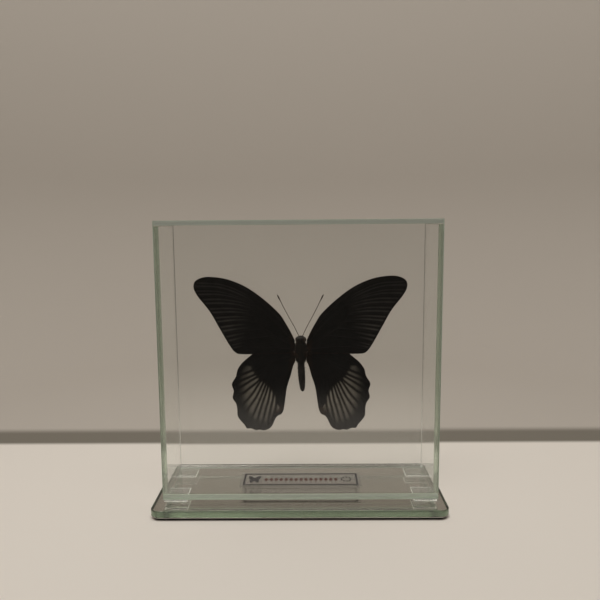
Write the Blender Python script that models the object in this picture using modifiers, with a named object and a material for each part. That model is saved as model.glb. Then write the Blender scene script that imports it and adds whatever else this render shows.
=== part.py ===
"""A butterfly specimen in a clear glass box on a mirror base.

Units are metres, +Z is up, the front faces -Y and the right side is +X.
The origin is under the middle of the base, on the surface that the object stands on.
"""

import math

import bmesh
import bpy
from mathutils import Matrix, Vector

MM = 0.001
GAP = 0.3 * MM  # clearance between pieces that touch

# Base: a mirror plate of thick glass over a dark sheet
BASE_WIDTH = 160.0 * MM
BASE_DEPTH = 65.6 * MM
BASE_GLASS_THICKNESS = 3.6 * MM
BASE_CORNER_RADIUS = 5.5 * MM
CORNER_SEGMENTS = 8
BASE_ARRIS = 0.4 * MM
BACKING_THICKNESS = 1.4 * MM
BACKING_INSET = 1.4 * MM
BACKING_ARRIS = 0.1 * MM

# Box: six panes of the same glass
BOX_WIDTH = 150.0 * MM
BOX_DEPTH = 42.2 * MM
BOX_HEIGHT = 151.2 * MM
BOX_OFFSET_X = 0.4 * MM  # the box stands slightly to the right on its base
BOX_OFFSET_Y = -1.8 * MM  # and nearer to its front edge
PANE = 2.5 * MM
ARRIS = 0.2 * MM  # the fine chamfer ground along every glass edge

# Pads under the corners of the box
PAD_SIDE = 12.6 * MM
PAD_THICKNESS = 1.2 * MM
PAD_INSET = 0.5 * MM

# Printed film lying on the bottom pane
LABEL_WIDTH = 69.0 * MM
LABEL_DEPTH = 17.6 * MM
LABEL_THICKNESS = 0.2 * MM
LABEL_ARRIS = 0.04 * MM
LABEL_FROM_FRONT = 20.5 * MM  # from the box's front face to the label's middle

# Heights
BACKING_TOP = BACKING_THICKNESS
BASE_BOTTOM = BACKING_TOP + GAP
BASE_TOP = BASE_BOTTOM + BASE_GLASS_THICKNESS
PAD_BOTTOM = BASE_TOP + GAP
BOX_BOTTOM = PAD_BOTTOM + PAD_THICKNESS + GAP
BOX_TOP = BOX_BOTTOM + BOX_HEIGHT
BOX_FRONT = BOX_OFFSET_Y - BOX_DEPTH / 2
BOX_REAR = BOX_OFFSET_Y + BOX_DEPTH / 2
INSIDE_WIDTH = BOX_WIDTH - 2 * PANE - 2 * GAP
INSIDE_DEPTH = BOX_DEPTH - 2 * PANE - 2 * GAP

# Specimen: drawn upwards from the level of the underside of the box, and sideways
# from the body's axis; it stands in the middle of the box's depth
DRAWING_LEVEL = 7.1 * MM
BODY_AXIS_X = BOX_OFFSET_X + 0.7 * MM
WING_PLANE_Y = BOX_OFFSET_Y
WING_THICKNESS = 0.3 * MM
WING_OVERLAP_STEP = 0.35 * MM  # each pair lies this far from the shared plane
WING_DIHEDRAL = math.radians(4.0)  # the wings rise towards the front from the body
THORAX_HALF_WIDTH = 3.3 * MM
THORAX_HALF_DEPTH = 3.0 * MM
PEG_RADIUS = 1.25 * MM
PEG_HEIGHT = 78.0 * MM
PEG_SIDES = 32
BODY_SIDES = 24

# Outlines run from the root along the front margin to the tip, and back along the rear
# margin: sideways and upwards in millimetres. The second list names the sharp corners.
FOREWING_OUTLINE = [
    (3.8, 84.6), (6.1, 90.2), (8.8, 95.0), (12.0, 99.8), (20.5, 107.9), (30.0, 114.8),
    (40.0, 119.1), (49.5, 120.6), (54.8, 119.9), (58.0, 117.8), (58.5, 114.2), (56.3, 109.7),
    (50.2, 101.5), (45.0, 91.9), (40.0, 82.7), (36.8, 78.3), (33.0, 77.0), (20.0, 76.9),
    (8.0, 77.0), (3.8, 78.4),
]
FOREWING_CORNERS = [(3.8, 84.6), (3.8, 78.4)]
HINDWING_OUTLINE = [
    (3.8, 76.6), (9.0, 79.6), (17.0, 80.6), (24.0, 78.8), (30.5, 74.1), (33.7, 71.0),
    (35.6, 68.0), (36.6, 64.2), (38.9, 60.0), (38.0, 56.0), (38.6, 52.0), (36.8, 48.6),
    (36.2, 45.4), (36.0, 41.4), (34.0, 38.1), (32.2, 36.0), (31.0, 34.0), (28.5, 33.8),
    (25.8, 32.7), (23.9, 33.0), (21.9, 32.5), (19.6, 32.9), (17.0, 34.6), (14.6, 39.4),
    (13.2, 40.9), (11.2, 41.9), (9.9, 44.8), (9.0, 50.5), (7.9, 57.5), (5.7, 64.5),
    (4.4, 69.4), (3.8, 72.4),
]
HINDWING_CORNERS = [(3.8, 76.6), (3.8, 72.4)]

# Half-width of the body against height, head first
BODY_PROFILE = [
    (0.0, 87.1), (1.5, 86.8), (2.6, 86.0), (3.0, 84.9), (2.7, 83.8), (2.3, 83.0),
    (2.9, 82.0), (3.3, 79.8), (3.3, 76.6), (2.9, 74.0), (2.1, 72.2), (1.9, 71.0),
    (2.1, 68.5), (2.1, 64.5), (1.8, 60.0), (1.3, 56.3), (0.7, 54.9), (0.0, 54.5),
]

# Antennae: sideways, forwards and upwards from the head, thickening to a club
ANTENNA_RADIUS = 0.16 * MM
ANTENNA_CLUB = 2.4  # how much thicker the club is
ANTENNA_PATH = [
    (1.0, 0.0, 87.6), (3.6, -0.4, 92.4), (6.4, -0.8, 97.6), (9.2, -1.2, 103.0),
    (11.2, -1.4, 106.9), (12.1, -1.5, 108.8), (12.8, -1.5, 110.3),
]
ANTENNA_SWELL = [1.0, 0.8, 0.8, 0.85, 1.3, ANTENNA_CLUB, 1.2]


def clear_scene():
    for existing in list(bpy.data.objects):
        bpy.data.objects.remove(existing, do_unlink=True)


def make_material(name, color, roughness, metallic=0.0, transmission=0.0, ior=1.52):
    material = bpy.data.materials.new(name)
    material.use_nodes = True
    shader = material.node_tree.nodes["Principled BSDF"]
    shader.inputs["Base Color"].default_value = (*color, 1.0)
    shader.inputs["Roughness"].default_value = roughness
    shader.inputs["Metallic"].default_value = metallic
    shader.inputs["Transmission Weight"].default_value = transmission
    shader.inputs["IOR"].default_value = ior
    return material


def add_piece(name, data, material, location=(0.0, 0.0, 0.0)):
    """Link a named piece into the object's collection with its own material."""
    piece = bpy.data.objects.new(name, data)
    collection.objects.link(piece)
    data.materials.append(material)
    piece.location = location
    return piece


def add_arris(piece, width=ARRIS):
    bevel = piece.modifiers.new("arris", "BEVEL")
    bevel.width = width
    bevel.segments = 1
    bevel.limit_method = "ANGLE"
    bevel.angle_limit = math.radians(50)


def slab(name, size, centre, material, corner_radius=0.0, arris=ARRIS):
    """A flat plate, with upright corners rounded when a radius is given."""
    shape = bmesh.new()
    bmesh.ops.create_cube(shape, size=1.0)
    bmesh.ops.scale(shape, vec=size, verts=shape.verts)
    if corner_radius:
        upright = [e for e in shape.edges if abs(e.verts[0].co.z - e.verts[1].co.z) > size[2] / 2]
        bmesh.ops.bevel(
            shape, geom=upright, offset=corner_radius, segments=CORNER_SEGMENTS, profile=0.5,
            affect="EDGES",
        )
    mesh = bpy.data.meshes.new(name)
    shape.to_mesh(mesh)
    shape.free()
    piece = add_piece(name, mesh, material, centre)
    add_arris(piece, arris)
    return piece


def make_base():
    glass = make_material("base_glass", (0.80, 0.90, 0.80), 0.02, transmission=1.0)
    dark = make_material("base_backing", (0.02, 0.02, 0.02), 0.6)
    slab(
        "base_backing",
        (BASE_WIDTH - 2 * BACKING_INSET, BASE_DEPTH - 2 * BACKING_INSET, BACKING_THICKNESS),
        (0.0, 0.0, BACKING_THICKNESS / 2),
        dark,
        corner_radius=BASE_CORNER_RADIUS - BACKING_INSET,
        arris=BACKING_ARRIS,
    )
    slab(
        "base_glass",
        (BASE_WIDTH, BASE_DEPTH, BASE_GLASS_THICKNESS),
        (0.0, 0.0, BASE_BOTTOM + BASE_GLASS_THICKNESS / 2),
        glass,
        corner_radius=BASE_CORNER_RADIUS,
        arris=BASE_ARRIS,
    )


def make_pads():
    """Four clear squares hold the box just off the mirror."""
    reach_x = BOX_WIDTH / 2 - PAD_INSET - PAD_SIDE / 2
    reach_y = BOX_DEPTH / 2 - PAD_INSET - PAD_SIDE / 2
    for side, sign_x in (("left", -1), ("right", 1)):
        for end, sign_y in (("front", -1), ("rear", 1)):
            name = f"pad_{end}_{side}"
            clear = make_material(name, (0.92, 0.95, 0.93), 0.1, transmission=1.0, ior=1.49)
            centre = (
                BOX_OFFSET_X + sign_x * reach_x,
                BOX_OFFSET_Y + sign_y * reach_y,
                PAD_BOTTOM + PAD_THICKNESS / 2,
            )
            slab(name, (PAD_SIDE, PAD_SIDE, PAD_THICKNESS), centre, clear)


def make_box():
    """The front and rear panes cover the edges of the others; the top covers the sides."""
    middle_z = (BOX_BOTTOM + BOX_TOP) / 2
    side_height = BOX_HEIGHT - 2 * PANE - 2 * GAP
    side_x = BOX_WIDTH / 2 - PANE / 2
    front_y = PANE / 2 - BOX_DEPTH / 2
    panes = {
        "front_pane": (
            (BOX_WIDTH, PANE, BOX_HEIGHT),
            (0.0, front_y, middle_z),
        ),
        "rear_pane": (
            (BOX_WIDTH, PANE, BOX_HEIGHT),
            (0.0, -front_y, middle_z),
        ),
        "top_pane": (
            (BOX_WIDTH, INSIDE_DEPTH, PANE),
            (0.0, 0.0, BOX_TOP - PANE / 2),
        ),
        "bottom_pane": (
            (BOX_WIDTH, INSIDE_DEPTH, PANE),
            (0.0, 0.0, BOX_BOTTOM + PANE / 2),
        ),
        "left_pane": ((PANE, INSIDE_DEPTH, side_height), (-side_x, 0.0, middle_z)),
        "right_pane": ((PANE, INSIDE_DEPTH, side_height), (side_x, 0.0, middle_z)),
    }
    for name, (size, (x, y, z)) in panes.items():
        glass = make_material(name, (0.90, 0.96, 0.91), 0.01, transmission=1.0)
        slab(name, size, (BOX_OFFSET_X + x, BOX_OFFSET_Y + y, z), glass)


def make_label():
    film = make_material("label", (0.85, 0.86, 0.86), 0.25, transmission=0.8, ior=1.49)
    bottom = BOX_BOTTOM + PANE + GAP
    centre = (BOX_OFFSET_X, BOX_FRONT + LABEL_FROM_FRONT, bottom + LABEL_THICKNESS / 2)
    slab("label", (LABEL_WIDTH, LABEL_DEPTH, LABEL_THICKNESS), centre, film, arris=LABEL_ARRIS)


def make_wing(name, outline, corners, sign, depth_step, material):
    """A flat outline standing upright, turned about the body so that its tip comes forward."""
    curve = bpy.data.curves.new(name, "CURVE")
    curve.dimensions = "2D"
    curve.fill_mode = "BOTH"
    curve.extrude = WING_THICKNESS / 2
    curve.resolution_u = 3
    spline = curve.splines.new("BEZIER")
    spline.bezier_points.add(len(outline) - 1)
    spline.use_cyclic_u = True
    ordered = outline if sign > 0 else outline[::-1]
    for point, (across, up) in zip(spline.bezier_points, ordered):
        point.co = (sign * across * MM, up * MM, 0.0)
        handle = "VECTOR" if (across, up) in corners else "AUTO"
        point.handle_left_type = handle
        point.handle_right_type = handle
    wing = add_piece(name, curve, material)
    wing.location = (BODY_AXIS_X, WING_PLANE_Y + depth_step, DRAWING_LEVEL)
    wing.rotation_euler = (math.pi / 2, 0.0, -sign * WING_DIHEDRAL)


def make_wings():
    for side, sign in (("left", -1), ("right", 1)):
        dark = make_material(f"forewing_{side}", (0.012, 0.010, 0.009), 0.75)
        pale = make_material(f"hindwing_{side}", (0.05, 0.05, 0.05), 0.8)
        make_wing(
            f"forewing_{side}", FOREWING_OUTLINE, FOREWING_CORNERS, sign, -WING_OVERLAP_STEP, dark
        )
        make_wing(
            f"hindwing_{side}", HINDWING_OUTLINE, HINDWING_CORNERS, sign, WING_OVERLAP_STEP, pale
        )


def make_body():
    """Head, thorax and abdomen, turned in one and pressed slightly flat front to back."""
    flatten = THORAX_HALF_DEPTH / THORAX_HALF_WIDTH
    mesh = bpy.data.meshes.new("body")
    profile = bmesh.new()
    points = [profile.verts.new((radius * MM, 0.0, up * MM)) for radius, up in BODY_PROFILE]
    for upper, lower in zip(points, points[1:]):
        profile.edges.new((upper, lower))
    profile.to_mesh(mesh)
    profile.free()
    dark = make_material("body", (0.02, 0.015, 0.012), 0.8)
    body = add_piece("body", mesh, dark, (BODY_AXIS_X, WING_PLANE_Y, DRAWING_LEVEL))
    screw = body.modifiers.new("turn", "SCREW")
    screw.axis = "Z"
    screw.steps = BODY_SIDES
    screw.render_steps = BODY_SIDES
    screw.use_merge_vertices = True
    screw.merge_threshold = 0.00001
    body.scale = (1.0, flatten, 1.0)


def make_antennae():
    for side, sign in (("left", -1), ("right", 1)):
        name = f"antenna_{side}"
        curve = bpy.data.curves.new(name, "CURVE")
        curve.dimensions = "3D"
        curve.bevel_depth = ANTENNA_RADIUS
        curve.bevel_resolution = 2
        curve.use_fill_caps = True
        spline = curve.splines.new("POLY")
        spline.points.add(len(ANTENNA_PATH) - 1)
        for point, (across, forward, up), swell in zip(spline.points, ANTENNA_PATH, ANTENNA_SWELL):
            point.co = (sign * across * MM, forward * MM, up * MM, 1.0)
            point.radius = swell
        brown = make_material(name, (0.05, 0.03, 0.02), 0.5)
        add_piece(name, curve, brown, (BODY_AXIS_X, WING_PLANE_Y, DRAWING_LEVEL))


def make_peg():
    """A clear peg glued between the back of the thorax and the rear pane."""
    start = WING_PLANE_Y + THORAX_HALF_DEPTH + GAP
    end = BOX_REAR - PANE - GAP
    shape = bmesh.new()
    bmesh.ops.create_cone(
        shape, cap_ends=True, segments=PEG_SIDES,
        radius1=PEG_RADIUS, radius2=PEG_RADIUS, depth=end - start,
    )
    upright = Matrix.Rotation(math.pi / 2, 3, "X")
    bmesh.ops.rotate(shape, cent=Vector(), matrix=upright, verts=shape.verts)
    mesh = bpy.data.meshes.new("support_peg")
    shape.to_mesh(mesh)
    shape.free()
    clear = make_material("support_peg", (0.95, 0.96, 0.95), 0.05, transmission=1.0, ior=1.49)
    centre = (BODY_AXIS_X, (start + end) / 2, DRAWING_LEVEL + PEG_HEIGHT)
    add_piece("support_peg", mesh, clear, centre)
    mesh.shade_smooth()
    mesh.set_sharp_from_angle(angle=math.radians(40))


clear_scene()
collection = bpy.data.collections.new("butterfly_specimen_in_glass_box")
bpy.context.scene.collection.children.link(collection)
make_base()
make_pads()
make_box()
make_label()
make_wings()
make_body()
make_antennae()
make_peg()
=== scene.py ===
# %% [markdown]
# # A butterfly in a glass box
# The object is a dried swallowtail, spread upright in a closed box of six glued glass panes,
# on a base of mirror glass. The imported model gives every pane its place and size, and this
# script gives the pieces their looks. Everything is in metres, +Z is up and -Y is the front.

# %% Load the frame
import math

import bmesh
import bpy
import numpy as np
from mathutils import Matrix, Vector, geometry


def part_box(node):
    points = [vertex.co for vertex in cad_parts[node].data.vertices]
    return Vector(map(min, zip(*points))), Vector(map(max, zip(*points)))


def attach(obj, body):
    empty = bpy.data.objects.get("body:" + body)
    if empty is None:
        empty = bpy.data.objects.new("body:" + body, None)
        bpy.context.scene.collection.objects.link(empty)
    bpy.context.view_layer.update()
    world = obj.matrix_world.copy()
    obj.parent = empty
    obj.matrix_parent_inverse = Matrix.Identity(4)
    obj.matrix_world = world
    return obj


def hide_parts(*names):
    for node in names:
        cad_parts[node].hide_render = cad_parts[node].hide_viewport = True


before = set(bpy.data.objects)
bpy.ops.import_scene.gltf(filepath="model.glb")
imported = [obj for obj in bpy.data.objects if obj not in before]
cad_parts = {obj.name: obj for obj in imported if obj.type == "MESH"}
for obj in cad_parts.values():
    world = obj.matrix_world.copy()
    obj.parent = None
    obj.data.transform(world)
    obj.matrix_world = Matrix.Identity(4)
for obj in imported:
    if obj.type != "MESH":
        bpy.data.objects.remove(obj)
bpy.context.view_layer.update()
MM = 0.001

# %% [markdown]
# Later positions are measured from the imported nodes: the middle of the body, the top of the
# label, the underside of the mirror's glass.

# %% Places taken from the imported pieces
body_low, body_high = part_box("body")
label_low, label_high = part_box("label")
base_low, base_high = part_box("base_glass")
BODY_X = (body_low.x + body_high.x) / 2
WING_Y = (body_low.y + body_high.y) / 2
BODY_LOWEST = 54.5 * MM  # height of the abdomen's tip in the drawing of the butterfly
DRAWING_LEVEL = body_low.z - BODY_LOWEST


def in_box(x, y, z):
    """Where a point of the butterfly's drawing, in millimetres from its axis, lies in the box."""
    return BODY_X + x * MM, WING_Y + y * MM, DRAWING_LEVEL + z * MM


print("body axis at x", round(BODY_X / MM, 2), "mm, level", round(DRAWING_LEVEL / MM, 2), "mm")

# %% [markdown]
# Materials and node trees are wired by the same few lines each time, so helpers do it. The
# first adds a node with its inputs, each a number or another node's output.

# %% Helpers for node trees
def add(tree, kind, inputs=None, **settings):
    """Add a node; an input given as a socket is linked, and any other value is set."""
    made = tree.nodes.new(kind)
    for name, value in settings.items():
        setattr(made, name, value)
    for key, value in (inputs or {}).items():
        if isinstance(value, bpy.types.NodeSocket):
            tree.links.new(value, made.inputs[key])
        else:
            made.inputs[key].default_value = value
    return made


def calc(tree, operation, first, second=0.0, third=None):
    values = {0: first, 1: second}
    if third is not None:
        values[2] = third
    return add(tree, "ShaderNodeMath", values, operation=operation).outputs[0]


def ramp(tree, value, low, high, to_low=0.0, to_high=1.0):
    """Map a value smoothly from one range to another, and hold it at the ends."""
    inputs = {"Value": value, "From Min": low, "From Max": high, "To Min": to_low, "To Max": to_high}
    return add(tree, "ShaderNodeMapRange", inputs, interpolation_type="SMOOTHSTEP").outputs["Result"]


def blend_color(tree, factor, first, second):
    inputs = {0: factor, 6: first, 7: second}
    return add(tree, "ShaderNodeMix", inputs, data_type="RGBA").outputs[2]


def noise(tree, vector, scale, detail=2.0, roughness=0.5):
    inputs = {"Vector": vector, "Scale": scale, "Detail": detail, "Roughness": roughness}
    return add(tree, "ShaderNodeTexNoise", inputs).outputs["Fac"]


def bump(tree, height, strength, distance):
    inputs = {"Height": height, "Strength": strength, "Distance": distance}
    return add(tree, "ShaderNodeBump", inputs).outputs["Normal"]


def start_material(name, **values):
    """A material with one Principled shader; returns it with its tree and shader."""
    material = bpy.data.materials.new(name)
    material.use_nodes = True
    tree = material.node_tree
    shader = tree.nodes["Principled BSDF"]
    for key, value in values.items():
        shader.inputs[key.replace("_", " ")].default_value = value
    return material, tree, shader


def feed(shader, **sources):
    """Link outputs to a shader's inputs; an underscore in a name stands for a space."""
    for key, source in sources.items():
        shader.id_data.links.new(source, shader.inputs[key.replace("_", " ")])


def opaque(color):
    return (*color, 1.0)


def object_coordinates(tree):
    return add(tree, "ShaderNodeTexCoord").outputs["Object"]


def attribute(tree, name):
    return add(tree, "ShaderNodeAttribute", attribute_name=name).outputs["Fac"]


def mottled_material(name, scale, detail, first, second, **values):
    """A material whose colour wanders between two; returns the noise that mixes them too."""
    material, tree, shader = start_material(name, **values)
    mix = noise(tree, object_coordinates(tree), scale, detail)
    feed(shader, Base_Color=blend_color(tree, mix, opaque(first), opaque(second)))
    return material, tree, shader, mix


# %% Helpers for meshes
def link(piece):
    bpy.context.scene.collection.objects.link(piece)
    return piece


def mesh_from(shape, name):
    """A plain mesh from a bmesh, which is freed."""
    mesh = bpy.data.meshes.new(name)
    shape.to_mesh(mesh)
    shape.free()
    return mesh


def evaluated_mesh(piece):
    """The real mesh of a linked object, with its modifiers or its bevel."""
    graph = bpy.context.evaluated_depsgraph_get()
    return bpy.data.meshes.new_from_object(piece.evaluated_get(graph))

# %% [markdown]
# ## Camera
# The view is a person's at a table: a little above the box, looking slightly down. The lens
# and the place come from the box's own perspective: the near edges of the base spread wider
# than the far ones by an amount that fixes the distance.

# %% Camera
LENS = 36.24  # millimetres on a 36 mm sensor
CAMERA_PLACE = Vector((4.3 * MM, -335.2 * MM, 157.0 * MM))
CAMERA_TURN = math.radians(-0.59)
CAMERA_DOWN = math.radians(7.35)
CAMERA_ROLL = math.radians(-0.46)
camera_data = bpy.data.cameras.new("camera")
camera_data.lens = LENS
camera_data.sensor_width = 36.0
camera_data.clip_start = 0.01
camera = link(bpy.data.objects.new("camera", camera_data))
turned = Matrix.Rotation(-CAMERA_TURN, 4, "Z") @ Matrix.Rotation(math.pi / 2 - CAMERA_DOWN, 4, "X")
camera.matrix_world = Matrix.Translation(CAMERA_PLACE) @ turned @ Matrix.Rotation(CAMERA_ROLL, 4, "Z")
bpy.context.scene.camera = camera

# %% [markdown]
# ## Stage and light
# Glass shows what surrounds it, so the stage matters more than usual. A floor that curves up
# into a round wall has no corner that could show in the panes or in the mirror. Only its colour
# changes: a pale table, a dark line of painted shadow at the foot of the wall behind it, and the
# wall. The stage is painted darker towards the front, behind the camera, as painted shade for a
# dim room there, because that is what the front pane reflects over the wings: a pale wall there
# would veil their black in grey.

# %% Floor and backdrop
FLOOR_RADIUS = 0.34
COVE_RADIUS = 0.22
WALL_HEIGHT = 0.75
COVE_STEPS = 14
ROUND_STEPS = 96
FLOOR_LEVEL = -0.05 * MM
stage_shape = bmesh.new()
rim = [stage_shape.verts.new((across, 0.0, FLOOR_LEVEL)) for across in (0.0, FLOOR_RADIUS)]
for step in range(1, COVE_STEPS + 1):
    angle = math.pi / 2 * step / COVE_STEPS
    across = FLOOR_RADIUS + COVE_RADIUS * math.sin(angle)
    rim.append(stage_shape.verts.new((across, 0.0, COVE_RADIUS * (1 - math.cos(angle)))))
rim.append(stage_shape.verts.new((FLOOR_RADIUS + COVE_RADIUS, 0.0, WALL_HEIGHT)))
for inner, outer in zip(rim, rim[1:]):
    stage_shape.edges.new((inner, outer))
bmesh.ops.spin(
    stage_shape, geom=stage_shape.verts[:] + stage_shape.edges[:], cent=(0, 0, 0), axis=(0, 0, 1),
    angle=2 * math.pi, steps=ROUND_STEPS, use_merge=True,
)
bmesh.ops.remove_doubles(stage_shape, verts=stage_shape.verts, dist=0.01 * MM)
bmesh.ops.recalc_face_normals(stage_shape, faces=stage_shape.faces)
stage_mesh = mesh_from(stage_shape, "backdrop")
stage_mesh.shade_smooth()
backdrop = link(bpy.data.objects.new("backdrop", stage_mesh))

WALL_BEHIND = (0.50, 0.46, 0.415, 1.0)
# Dark colour of the stage in front, behind the camera: painted shade that stands for a dim room
PAINTED_SHADE_BEFORE = (0.07, 0.066, 0.061, 1.0)
# Dark colour at the foot of the wall: a painted shadow where the table meets the wall
PAINTED_FOOT_SHADOW = (0.21, 0.192, 0.162, 1.0)
TABLE_COLOR = (0.81, 0.765, 0.71, 1.0)
# Where each colour gives way to the next, in metres from the middle of the stage
WALL_SHADE_ENDS = (-0.3, 0.0)
FLOOR_SHADE_ENDS = (-0.29, -0.10)
TABLE_ENDS = (0.078, 0.085)
FOOT_SHADOW_ENDS = (0.102, 0.116)
TABLE_HEIGHT = (0.0, 0.06)
stage_material, tree, shader = start_material("backdrop", Roughness=0.9, Specular_IOR_Level=0.1)
split = add(tree, "ShaderNodeSeparateXYZ", {"Vector": object_coordinates(tree)})
backward, height = split.outputs["Y"], split.outputs["Z"]
# The wall turns to the dark front colour towards the front: painted shade
wall = blend_color(tree, ramp(tree, backward, *WALL_SHADE_ENDS), PAINTED_SHADE_BEFORE, WALL_BEHIND)
# A dark band at the foot of the wall, over the wall colour: a painted shadow
wall_over_foot_shadow = blend_color(tree, ramp(tree, backward, *FOOT_SHADOW_ENDS), PAINTED_FOOT_SHADOW, wall)
past_table = ramp(tree, backward, *TABLE_ENDS)
risen = calc(tree, "MAXIMUM", past_table, ramp(tree, height, *TABLE_HEIGHT))
room = blend_color(tree, risen, TABLE_COLOR, wall_over_foot_shadow)
# The floor in front of the table turns to the same dark colour: painted shade
past_front_shade = ramp(tree, backward, *FLOOR_SHADE_ENDS)
feed(shader, Base_Color=blend_color(tree, past_front_shade, PAINTED_SHADE_BEFORE, room))
backdrop.data.materials.append(stage_material)

# %% Lights
ROOM_LIGHT = (1.0, 0.97, 0.93, 1.0)
ROOM_STRENGTH = 0.45
LAMP_LIGHT = (1.0, 0.96, 0.90)
world = bpy.data.worlds.new("soft_room")
world.use_nodes = True
background = world.node_tree.nodes["Background"]
background.inputs["Color"].default_value = ROOM_LIGHT
background.inputs["Strength"].default_value = ROOM_STRENGTH
bpy.context.scene.world = world


def area_light(name, place, aim, size, power):
    data = bpy.data.lights.new(name, "AREA")
    data.shape = "DISK"
    data.size = size
    data.energy = power
    data.color = LAMP_LIGHT
    lamp = link(bpy.data.objects.new(name, data))
    lamp.location = place
    lamp.rotation_euler = (Vector(aim) - Vector(place)).to_track_quat("-Z", "Y").to_euler()


area_light("key_light", (-0.28, -0.25, 0.95), (0.0, 0.05, 0.05), 0.45, 3.6)
area_light("fill_light", (0.35, -0.10, 0.95), (0.0, 0.15, 0.10), 0.55, 2.1)
bpy.context.scene.view_settings.view_transform = "Standard"
light_paths = bpy.context.scene.cycles
light_paths.max_bounces = 24
light_paths.transmission_bounces = 24
light_paths.glossy_bounces = 12
light_paths.transparent_max_bounces = 16

# %% [markdown]
# ## Glass
# Float glass is clear through its face and green through its edge, because light that leaves
# by the edge has travelled a long way inside. So the panes are clear, and a volume takes away
# a little red and blue for each millimetre. The faces are polished; the cut edges are only
# ground, so they are rough, slightly green and partly milky. The material finds them by
# comparing the surface's normal with the pane's own direction.

# %% Glass materials
PANE_ABSORB = (0.28, 0.50, 0.24, 1.0)
BASE_ABSORB = (0.27, 0.46, 0.24, 1.0)
PANE_DENSITY = 10.0
BASE_DENSITY = 25.0
GLASS_IOR = 1.52
FACE_TINT = (1.0, 1.0, 1.0, 1.0)
EDGE_TINT = (0.84, 0.89, 0.82, 1.0)
PANE_EDGE_ROUGHNESS = 0.16
BASE_EDGE_ROUGHNESS = 0.22
BASE_SATIN = 0.06
SMUDGE = 0.01  # the most that a wiped face is rough


def glass_material(name, thin_axis, absorb_color, density, edge_roughness, satin):
    material, tree, shader = start_material(name, IOR=GLASS_IOR, Roughness=0.0)
    place = object_coordinates(tree)
    normal = add(tree, "ShaderNodeNewGeometry").outputs["True Normal"]
    along = add(tree, "ShaderNodeSeparateXYZ", {"Vector": normal}).outputs[thin_axis]
    edge = ramp(tree, calc(tree, "ABSOLUTE", along), 0.9, 0.3)
    wiped = ramp(tree, noise(tree, place, 35.0, 4.0), 0.62, 0.80, 0.0, SMUDGE)
    rough = calc(tree, "ADD", calc(tree, "MULTIPLY", edge, edge_roughness), wiped)
    tint = blend_color(tree, edge, FACE_TINT, EDGE_TINT)
    clear = calc(tree, "SUBTRACT", 1.0, calc(tree, "MULTIPLY", edge, satin))
    feed(shader, Roughness=rough, Base_Color=tint, Transmission_Weight=clear)
    absorb = add(tree, "ShaderNodeVolumeAbsorption", {"Color": absorb_color, "Density": density})
    tree.links.new(absorb.outputs["Volume"], tree.nodes["Material Output"].inputs["Volume"])
    return material


def dress(node_name, material):
    """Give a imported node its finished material."""
    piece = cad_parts[node_name]
    piece.data.materials.clear()
    piece.data.materials.append(material)
    return piece


def let_light_through(piece):
    """Clear panes don't darken the room: only the eye and reflections meet them."""
    piece.visible_shadow = False
    piece.visible_diffuse = False


# Each pane's thin direction, and how milky its ground edges are. The milkiness is partly real
# and partly painted light: it differs from pane to pane, and the top pane's is raised so that its edge
# band shows brighter
PANES = {
    "front_pane": ("Y", 0.30), "rear_pane": ("Y", 0.50), "left_pane": ("X", 0.08),
    "right_pane": ("X", 0.08), "top_pane": ("Z", 0.85), "bottom_pane": ("Z", 0.42),
}
for pane, (axis, satin) in PANES.items():
    pane_glass = glass_material(pane, axis, PANE_ABSORB, PANE_DENSITY, PANE_EDGE_ROUGHNESS, satin)
    let_light_through(dress(pane, pane_glass))
mirror_glass = glass_material(
    "base_glass", "Z", BASE_ABSORB, BASE_DENSITY, BASE_EDGE_ROUGHNESS, BASE_SATIN
)
let_light_through(dress("base_glass", mirror_glass))
print("dressed", len(PANES), "panes and the base glass")

# %% [markdown]
# ## The mirror
# A mirror's silver is on the back of its glass, so its image lies below the surface, and
# every reflection passes through the glass twice. A thin bright sheet just under the base
# glass does the same.

# %% Silvering and backing
SILVER_INSET = 0.05 * MM
SILVER_THICKNESS = 0.15 * MM
SILVER_GAP = 0.02 * MM
BASE_CORNER = 5.5 * MM


def finish_piece(piece, smooth=False):
    """Link a piece that is modelled in place, and let it ride on the root body."""
    link(piece)
    if smooth:
        piece.data.shade_smooth()
    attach(piece, "root")
    return piece


def rounded_plate(name, low, high, corner):
    """A flat plate with round upright corners, between two opposite corners."""
    shape = bmesh.new()
    bmesh.ops.create_cube(shape, size=1.0)
    size, middle = high - low, (high + low) / 2
    bmesh.ops.scale(shape, vec=size, verts=shape.verts)
    upright = [e for e in shape.edges if abs(e.verts[0].co.z - e.verts[1].co.z) > size.z / 2]
    bmesh.ops.bevel(shape, geom=upright, offset=corner, segments=8, profile=0.5, affect="EDGES")
    bmesh.ops.translate(shape, vec=middle, verts=shape.verts)
    return bpy.data.objects.new(name, mesh_from(shape, name))


silver_top = base_low.z - SILVER_GAP
silver_bottom = silver_top - SILVER_THICKNESS
silver_low = Vector((base_low.x + SILVER_INSET, base_low.y + SILVER_INSET, silver_bottom))
silver_high = Vector((base_high.x - SILVER_INSET, base_high.y - SILVER_INSET, silver_top))
silver = rounded_plate("mirror_silver", silver_low, silver_high, BASE_CORNER - SILVER_INSET)
silver_material = mottled_material(
    "mirror_silver", 25.0, 2.0, (0.76, 0.72, 0.715), (0.80, 0.755, 0.75), Metallic=1.0, Roughness=0.0
)[0]
silver.data.materials.append(silver_material)
finish_piece(silver)

backing_material, tree, shader, grain = mottled_material(
    "base_backing", 900.0, 4.0, (0.006, 0.006, 0.006), (0.018, 0.017, 0.016), Specular_IOR_Level=0.2
)
rough = ramp(tree, grain, 0.2, 0.8, 0.7, 0.95)
feed(shader, Roughness=rough, Normal=bump(tree, grain, 0.4, 0.1 * MM))
dress("base_backing", backing_material)

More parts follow.
